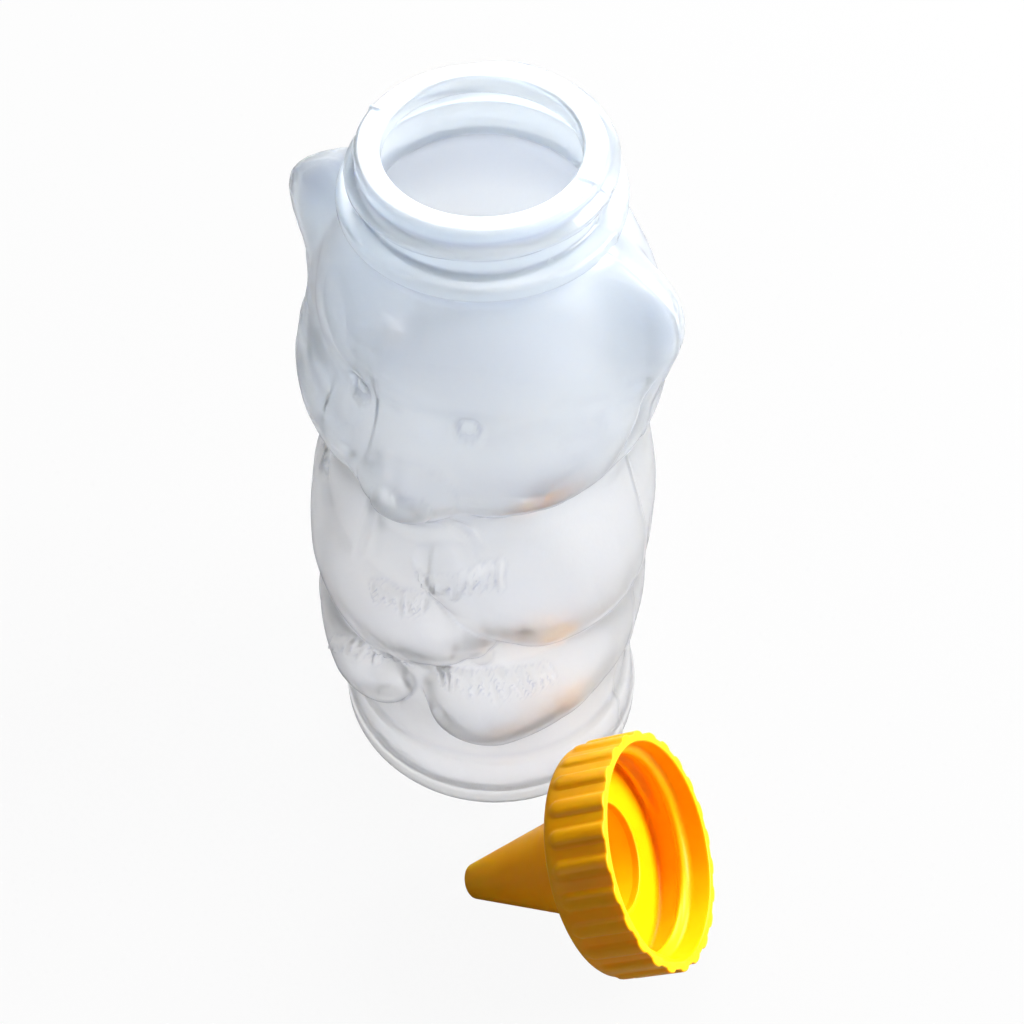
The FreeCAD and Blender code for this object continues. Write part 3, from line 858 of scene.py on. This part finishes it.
@dataclass
class Bottle:
    """The blown bottle: the bear, its threaded neck with the thick lip, and the whole inside."""

    finish: MilkyPolyethylene
    figure: BearFigure
    wall: float = 1.0
    foot_rounding: float = 1.5
    push_up_radius: float = 21.0
    push_up_depth: float = 2.0
    neck_height: float = 12.0
    neck_radius: float = 17.45
    neck_wall: float = 1.55
    neck_root: float = 18.4
    bore: float = 13.8
    lip_thickness: float = 2.8
    lip_rounding: float = 0.7
    bead_radius: float = 20.5
    bead_height: float = 2.4
    bead_drop: float = 7.6
    thread_pitch: float = 4.23
    thread_depth: float = 1.55
    thread_turns: float = 1.05
    thread_drop: float = 5.5
    thread_start: float = 111.0
    nib_height: float = 0.24
    nib_width: float = 1.3
    seam_height: float = 0.18
    columns: int = 308
    levels_on_figure: int = 182
    inner_spacing: float = 5.0

    @property
    def lip(self) -> float:
        """Return the height of the lip."""
        return self.figure.height + self.neck_height

    def directions(self) -> Array:
        """Spread the columns: closest over the face, paws and feet, and at the parting line.

        Returns:
            The columns' directions.
        """
        around = np.linspace(-180, 180, 3601)
        density = 1 + 1.35 * smooth_step((100 - np.abs(around - 17)) / 25)
        for side in (-90, 90):
            density = density + 2.0 * np.exp(-((around - side) / 2.5) ** 2)
        return spread(around, density, np.arange(self.columns) / self.columns)

    def levels(self) -> Array:
        """Spread the rings on the figure: closest where the paws and feet are.

        Returns:
            The rings' heights.
        """
        height = np.linspace(self.foot_rounding, self.figure.height, 2001)
        density = 1 + 0.5 * smooth_step((34 - np.abs(height - 62)) / 6)
        return spread(height, density, np.linspace(0, 1, self.levels_on_figure))

    def neck_outline(self) -> RoundedOutline:
        """Draw the neck from its root up over the bead, the neck and the lip, and down the inside.

        Returns:
            The outline.
        """
        root, lip, bead_top = self.figure.height, self.lip, self.lip - self.bead_drop
        inside = self.neck_radius - self.neck_wall
        under_lip = lip - self.lip_thickness
        return RoundedOutline((
            (self.neck_root, root, 0), (self.neck_root, bead_top - self.bead_height - 0.6, 0.5),
            (self.bead_radius, bead_top - self.bead_height + 0.2, 0.7), (self.bead_radius, bead_top, 0.7),
            (self.neck_radius, bead_top + 0.4, 0.5), (self.neck_radius, lip - 0.25, self.lip_rounding),
            (self.bore, lip - 0.25, 0.6), (self.bore, under_lip, 0.4), (inside, under_lip - 0.9, 0.5),
            (inside, root, 0)))

    def add_foot(self, shell: RoundShell, foot: Array) -> None:
        """Add the hollow under the foot, the ring that it stands on and its rounded edge.

        Args:
            shell: The shell, with no rings yet.
            foot: The figure's radii at the top of the rounded edge.
        """
        ground = self.push_up_radius + 1.2
        for share in (0.02, 0.25, 0.5, 0.75, 0.95):
            shell.add(self.push_up_depth * (1 - share * share), self.push_up_radius * share)
        shell.add(0.15, self.push_up_radius + 0.4)
        for share in (0.0, 0.25, 0.5, 0.75):
            shell.add(0.0, ground + (foot - self.foot_rounding - ground) * share)
        for angle in np.radians((0, 22, 45, 68)):
            inset = self.foot_rounding * (1 - math.sin(angle))
            shell.add(self.foot_rounding * (1 - math.cos(angle)), foot - inset)

    def add_neck(self, shell: RoundShell) -> None:
        """Add the neck, with the parting ridge up its sides and the nibs that the mould leaves on the lip.

        Args:
            shell: The shell, up to the root of the neck.
        """
        seam = sum(np.exp(-((turn(shell.directions, side) / self.nib_width) ** 2)) for side in (-90, 90))
        for radius, height in self.neck_outline().points(0.45):
            outside = radius > self.neck_radius - self.lip_rounding
            top = height > self.lip - 0.5 and radius > self.bore + 0.3
            shell.add(height + self.nib_height * seam * top, radius + self.seam_height * seam * outside)

    def add_cavity(self, shell: RoundShell) -> None:
        """Add the inside of the figure, from the root of the neck down to the middle of the floor.

        Args:
            shell: The shell, round the lip and down the inside of the neck.
        """
        inside = self.figure.height - np.arange(1.0, self.figure.height - self.wall - 1.0, self.inner_spacing)
        cavity = self.inner_radii(shell.directions, inside)
        shell.add_all(inside, cavity)
        for drop, inset in ((0.4, 0.2), (0.8, 0.7), (1.0, 1.6)):
            shell.add(max(inside[-1] - drop, self.wall), cavity[-1] - inset)
        for share in (0.95, 0.6, 0.3, 0.02):
            shell.add(self.wall + self.push_up_depth * (1 - share * share), self.push_up_radius * share)

    def build(self) -> bpy.types.Object:
        """Build the bottle as one closed piece.

        Returns:
            The piece, in its place and dressed.
        """
        shell = RoundShell(self.directions(), [], [])
        levels = self.levels()
        self.add_foot(shell, self.figure.radius(shell.directions, levels[0]))
        shell.add_all(levels[:-1], self.figure.radius(shell.directions[None, :], levels[:-1, None]))
        self.add_neck(shell)
        self.add_cavity(shell)
        piece = add_object("bottle_body", shell.mesh("bottle_body"))
        heights = np.array([np.full_like(ring, ring[0]) for ring in shell.heights])
        on_neck = np.abs(np.array(shell.radii) - self.neck_radius) < 0.35
        on_neck &= (heights > self.lip - self.bead_drop) & (heights < self.lip)
        mask = np.concatenate([on_neck.reshape(-1).astype(float), [0.0, 0.0]])
        ScrewThread().apply(
            piece, mask, self.finish.material(), pitch=self.thread_pitch * MM, depth=self.thread_depth * MM,
            turns=self.thread_turns, start_direction=math.radians(self.thread_start),
            start_height=(self.lip - self.thread_drop) * MM, half_crest=0.35 * MM, half_root=1.2 * MM,
            run_in=0.08)
        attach(piece, "root")
        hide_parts("bottle")
        return piece

    def inner_radii(self, directions: Array, heights: Array) -> Array:
        """Return the cavity's radii: one wall inside the figure, taken over a small neighbourhood.

        Args:
            directions: The columns' directions.
            heights: The rings' heights.

        Returns:
            A row of radii for each height.
        """
        near = []
        for step in (-2.5, 0, 2.5):
            for rise in (-1.2, 0, 1.2):
                level = np.clip(heights + rise, 1.5, self.figure.height)
                near.append(self.figure.radius(directions[None, :] + step, level[:, None]))
        return np.min(near, axis=0) - self.wall


# ---- cap ----

@dataclass
class Cap:
    """The cone-tipped screw cap, made standing on its tip and then laid on its tip and skirt."""

    finish: YellowPolypropylene
    neck_radius: float = 17.45
    thread_depth: float = 1.6
    clearance: float = 0.25
    skirt_wall: float = 1.35
    rib_count: int = 24
    rib_height: float = 0.6
    rib_half_width: float = 1.65
    skirt_length: float = 12.4
    back_bevel: float = 1.2
    plate_thickness: float = 1.8
    cone_length: float = 27.8
    cone_base: float = 11.0
    cone_wall: float = 1.2
    tip_radius: float = 3.1
    tip_rounding: float = 0.9
    orifice: float = 1.5
    seal_height: float = 0.8
    thread_pitch: float = 4.23
    thread_turns: float = 1.75
    thread_drop: float = 1.8
    thread_gap: float = 0.1
    thread_start: float = 40.0
    heading: float = 21.6
    ring_pitch: float = 2.0
    ring_depth: float = 0.05
    columns: int = 384

    @property
    def inside(self) -> float:
        """Return the skirt's inner radius."""
        return self.neck_radius + self.thread_depth + self.clearance

    @property
    def root(self) -> float:
        """Return the skirt's outer radius, under the ribs."""
        return self.inside + self.skirt_wall

    @property
    def rim(self) -> float:
        """Return the height of the skirt's open end, as the cap stands on its tip."""
        return self.cone_length + self.skirt_length

    def outline(self) -> RoundedOutline:
        """Draw the cap's wall, from the orifice round the outside and back inside.

        Returns:
            The closed outline.
        """
        plate = self.cone_length + self.plate_thickness
        seal = plate + self.seal_height
        cone_inside = self.cone_base - self.cone_wall
        return RoundedOutline((
            (self.orifice, 0, 0.2), (self.tip_radius, 0, self.tip_rounding),
            (self.cone_base, self.cone_length, 0.6), (self.root, self.cone_length, self.back_bevel),
            (self.root, self.rim, 0.3), (self.inside, self.rim, 0.35), (self.inside, plate, 0.8),
            (cone_inside + 1.3, plate, 0.2), (cone_inside + 1.0, seal, 0.25), (cone_inside + 0.1, seal, 0.25),
            (cone_inside, plate - 0.6, 0.3), (self.orifice, 2.0, 0.3)), closed=True)

    def ripple(self, radius: float, height: float) -> float:
        """Return the faint rings that the tool's turning leaves on the wide half of the cone.

        Args:
            radius: The outline's radius.
            height: Its height.

        Returns:
            How far the wall stands out there.
        """
        share = (height - 0.45 * self.cone_length) / (0.5 * self.cone_length)
        on_cone = 0 < share < 1 and radius > self.orifice + share * self.cone_base * 0.6 + 3
        return self.ring_depth * math.sin(2 * math.pi * height / self.ring_pitch) * share * on_cone

    def tilt(self) -> float:
        """Return how far the axis rises from the floor, in degrees, as the cap lies on tip and skirt.

        Returns:
            The angle.
        """
        corner = (self.cone_length + 1.8, self.root + self.rib_height)
        bend = 0.3 * self.tip_rounding
        near = ((bend, self.tip_radius - bend), (self.tip_rounding, self.tip_radius))
        return min(math.degrees(math.atan2(corner[1] - r, corner[0] - t)) for t, r in near)

    def build(self) -> bpy.types.Object:
        """Build the cap as one closed piece where the frame's cap lies.

        Returns:
            The piece, in its place and dressed.
        """
        shell = RoundShell(np.arange(self.columns) * 360.0 / self.columns, [], [])
        for radius, height in self.outline().points(0.5):
            shell.add(height, radius + self.ripple(radius, height))
        piece = add_object("cap_body", shell.mesh("cap_body", ends_meet=True))
        radii, heights = np.array(shell.radii), np.array(shell.heights)
        material = self.finish.material()
        grip = smooth_step((radii - self.root + 1.2) / 1.2) * (heights > self.cone_length + 0.2)
        GripRibs().apply(
            piece, grip.reshape(-1), material, count=self.rib_count, height=self.rib_height * MM,
            half_width=self.rib_half_width * MM, skirt_radius=self.root * MM,
            lowest_point=(self.cone_length + 1.5) * MM)
        wall = (np.abs(radii - self.inside) < 0.2) & (heights > self.cone_length + self.plate_thickness)
        start = self.rim - self.thread_drop - self.thread_pitch * self.thread_turns
        ScrewThread().apply(
            piece, wall.reshape(-1).astype(float), material, pitch=self.thread_pitch * MM,
            depth=-(self.thread_depth - self.thread_gap) * MM, turns=self.thread_turns,
            start_direction=math.radians(self.thread_start), start_height=start * MM, half_crest=0.35 * MM,
            half_root=1.3 * MM, run_in=0.08)
        self.lay(piece)
        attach(piece, "root")
        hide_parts("cap")
        return piece

    def lay(self, piece: bpy.types.Object) -> None:
        """Lay the piece on the floor where the frame's cap lies.

        Args:
            piece: The cap, standing on its tip.
        """
        mesh = piece.data
        leant = Matrix.Rotation(math.radians(90 - self.tilt()), 4, "Y")
        mesh.transform(Matrix.Rotation(math.radians(self.heading), 4, "Z") @ leant)
        points = np.empty(len(mesh.vertices) * 3)
        mesh.vertices.foreach_get("co", points)
        points = points.reshape(-1, 3)
        low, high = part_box("cap")
        across = (low[1] + high[1] - points[:, 1].min() - points[:, 1].max()) / 2
        mesh.transform(Matrix.Translation((high[0] - points[:, 0].max(), across, -points[:, 2].min())))


# ---- surroundings ----

@dataclass(frozen=True)
class SoftLamp:
    """A square soft lamp that faces the object, with its place, its aim and its side in metres."""

    name: str
    place: tuple[float, float, float]
    side: float
    watts: float
    colour: str = "#ffffff"
    aim: tuple[float, float, float] = (0.02, -0.01, 0.05)

    def build(self) -> None:
        """Hang the lamp."""
        light = bpy.data.lights.new(self.name, "AREA")
        light.size, light.energy, light.color = self.side, self.watts, linear(self.colour)[:3]
        lamp = add_object(self.name, light)
        lamp.location = self.place
        lamp.rotation_euler = (Vector(self.aim) - Vector(self.place)).to_track_quat("-Z", "Y").to_euler()


@dataclass
class Studio:
    """A pale floor, plain soft lamps and the camera.

    The floor and the room are matt and dull to the lamps, but white where they are seen, through the
    plastic too. The large lamp behind makes the bottle's walls glow.
    """

    floor_size: float = 4.0
    floor_colour: str = "#8c8c8c"
    floor_whiteness: float = 0.94
    room_colour: str = "#eef2fa"
    room_strength: float = 0.13
    camera_place: tuple[float, float, float] = (79.56, -148.89, 287.46)
    camera_heading: float = 26.66
    camera_pitch: float = 53.63
    camera_roll: float = 0.23
    lens: float = 56.39
    lamps: tuple[SoftLamp, ...] = (
        SoftLamp("key_lamp", (0.43, 0.30, 0.38), 0.32, 9.0),
        SoftLamp("fill_lamp", (-0.30, -0.52, 0.20), 0.06, 0.30, "#fff4ea"),
        SoftLamp("rim_lamp", (-0.25, 0.60, 0.45), 0.60, 15.5))

    def seen(self, tree: Tree) -> Socket:
        """Add the nodes that tell where something is seen, from the camera or through the plastic.

        Args:
            tree: The tree that they go into.

        Returns:
            A socket that is 1 there and 0 where light only falls.
        """
        rays = add_node(tree, "ShaderNodeLightPath").outputs
        return add_node(tree, "ShaderNodeMath", {"operation": "MAXIMUM"}, {
            0: rays["Is Camera Ray"], 1: rays["Is Transmission Ray"]}).outputs[0]

    def floor(self) -> None:
        """Build the floor, which looks white and still takes the object's shadow."""
        mesh = bpy.data.meshes.new("floor")
        half = self.floor_size / 2
        corners = [(-half, -half, 0), (half, -half, 0), (half, half, 0), (-half, half, 0)]
        mesh.from_pydata(corners, [], [(0, 1, 2, 3)])
        piece = add_object("floor", mesh)
        paper = bpy.data.materials.new("white_paper")
        tree = empty_tree(paper)
        matt = add_node(tree, "ShaderNodeBsdfDiffuse", inputs={"Color": linear(self.floor_colour)})
        glow = add_node(tree, "ShaderNodeEmission", inputs={"Color": linear("#ffffff"), "Strength": 1.0})
        share = add_node(tree, "ShaderNodeMath", {"operation": "MULTIPLY"}, {
            0: self.seen(tree), 1: self.floor_whiteness})
        mixed = add_node(tree, "ShaderNodeMixShader", inputs={
            0: share.outputs[0], 1: matt.outputs[0], 2: glow.outputs[0]})
        add_node(tree, "ShaderNodeOutputMaterial", inputs={0: mixed.outputs[0]})
        mesh.materials.append(paper)

    def world(self) -> None:
        """Make the surroundings pale, and white where they are seen."""
        world = bpy.data.worlds.new("soft_room")
        bpy.context.scene.world = world
        tree = empty_tree(world)
        room = add_node(tree, "ShaderNodeBackground", inputs={
            0: linear(self.room_colour), 1: self.room_strength})
        white = add_node(tree, "ShaderNodeBackground", inputs={0: linear("#ffffff"), 1: 1.0})
        mixed = add_node(tree, "ShaderNodeMixShader", inputs={
            0: self.seen(tree), 1: room.outputs[0], 2: white.outputs[0]})
        add_node(tree, "ShaderNodeOutputWorld", inputs={0: mixed.outputs[0]})

    def camera(self) -> None:
        """Add the camera and make it the scene's."""
        data = bpy.data.cameras.new("camera")
        data.sensor_width, data.lens = 36.0, self.lens
        data.clip_start, data.clip_end = 0.01, 20.0
        camera = add_object("camera", data)
        turned = Matrix.Rotation(math.radians(self.camera_heading), 4, "Z")
        turned = turned @ Matrix.Rotation(math.radians(90 - self.camera_pitch), 4, "X")
        turned = turned @ Matrix.Rotation(math.radians(self.camera_roll), 4, "Z")
        camera.matrix_world = Matrix.Translation(Vector(self.camera_place) * MM) @ turned
        bpy.context.scene.camera = camera

    def build(self) -> None:
        """Build the surroundings."""
        self.camera()
        self.floor()
        self.world()
        for lamp in self.lamps:
            lamp.build()
        bpy.context.scene.view_settings.view_transform = "Standard"


def main() -> None:
    """Build the surroundings and the two pieces."""
    logging.basicConfig(level=logging.INFO, format="%(message)s")
    Studio().build()
    for part in (Bottle(MilkyPolyethylene(), BearFigure()), Cap(YellowPolypropylene())):
        piece = part.build()
        piece.data.calc_loop_triangles()
        log.info("%s: %d triangles", piece.name, len(piece.data.loop_triangles))


if __name__ == "__main__":
    main()
